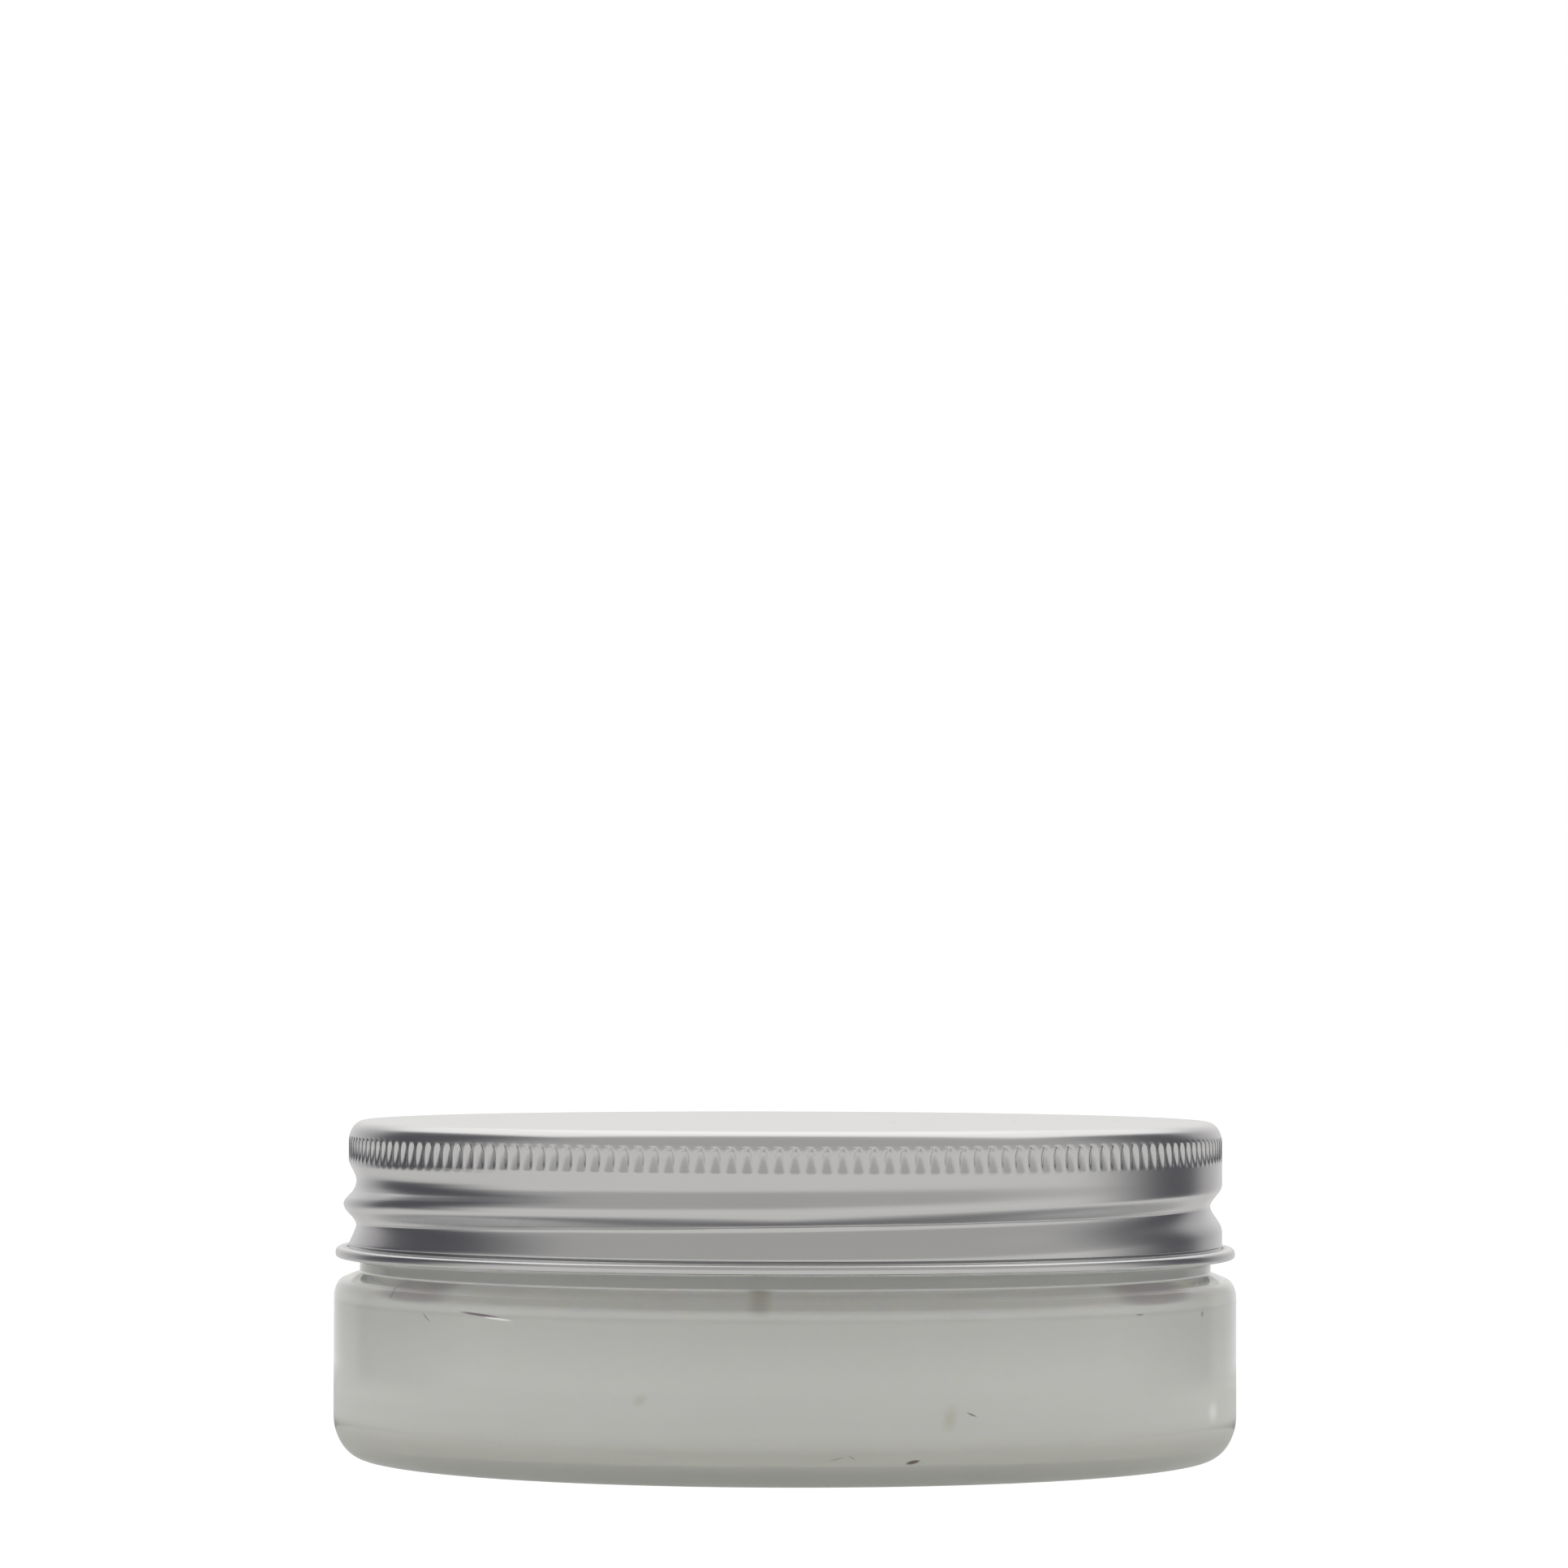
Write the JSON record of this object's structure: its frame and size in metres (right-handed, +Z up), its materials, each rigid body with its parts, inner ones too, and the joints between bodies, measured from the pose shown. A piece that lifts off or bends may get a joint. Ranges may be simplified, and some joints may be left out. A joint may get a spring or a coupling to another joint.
{
  "type": "screw jar",
  "caption": "Low wide screw jar of clear plastic, full of pale cream, under a knurled aluminium screw cap with a foam liner.",
  "frame": {"origin": "on the jar's axis, on the surface that the jar stands on", "axes": "+Z up along the jar's axis; the pictured side faces -Y"},
  "size_m": [0.088, 0.088, 0.0327],
  "materials": {
    "clear_pet": "clear, glossy injection moulding",
    "cream": "soft satin cream",
    "satin_aluminium": "satin rolled sheet",
    "liner_foam": "matte white foam"
  },
  "bodies": {
    "jar": {"jar_body": "clear_pet", "cream_fill": "cream"},
    "wad": {"cap_liner": "liner_foam"},
    "cap": {"cap_shell": "satin_aluminium"}
  },
  "joints": [
    {"name": "cap_lift", "type": "slide", "parent": "jar", "child": "wad", "axis": [0, 0, 1], "range_m": [0, 0.0127]},
    {"name": "cap_turn", "type": "hinge", "parent": "wad", "child": "cap", "pos_m": [0, 0, 0.02], "axis": [0, 0, 1], "range_deg": [0, 1080]}
  ],
  "couplings": [
    {"joint": "cap_lift", "follows": "cap_turn", "m_per_rad": 0.0006737}
  ]
}
